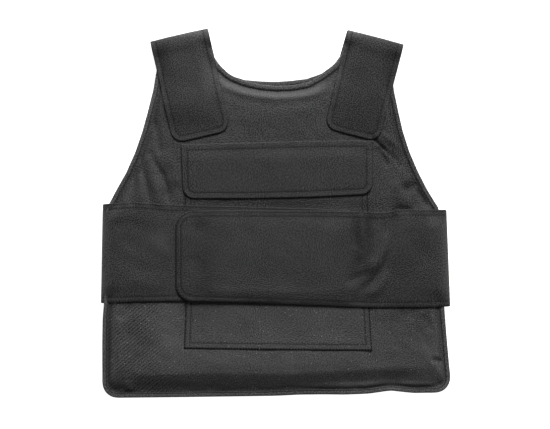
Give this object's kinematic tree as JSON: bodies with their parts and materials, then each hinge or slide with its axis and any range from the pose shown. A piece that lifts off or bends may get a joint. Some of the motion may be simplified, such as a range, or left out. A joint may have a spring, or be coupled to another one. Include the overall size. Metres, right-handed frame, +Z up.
{
  "type": "stab vest",
  "caption": "Padded two-panel vest laid flat, with hook-and-loop shoulder straps, wrap-over side belts, and a plate pocket with a flap.",
  "frame": {"origin": "on the surface that the vest lies on, below the middle of its outline", "axes": "+Z up out of the front panel's face, +Y from the hem to the neck, +X to the right as seen from above"},
  "size_m": [0.5608, 0.5911, 0.0559],
  "materials": {
    "shell_cloth": "matt black twill, with a soft sheen at grazing light",
    "belt_cloth": "matt black twill in two layers, stitched along the edge",
    "binding_tape": "black woven tape folded over the edge"
  },
  "bodies": {
    "root": {"back_panel": "shell_cloth", "front_panel": "shell_cloth", "plate_pocket": "shell_cloth", "pocket_flap": "belt_cloth", "shoulder_strap_left": "belt_cloth", "shoulder_strap_right": "belt_cloth", "belt_left": "belt_cloth", "belt_right": "belt_cloth", "back_edge_binding": "binding_tape", "front_edge_binding": "binding_tape"}
  },
  "joints": []
}
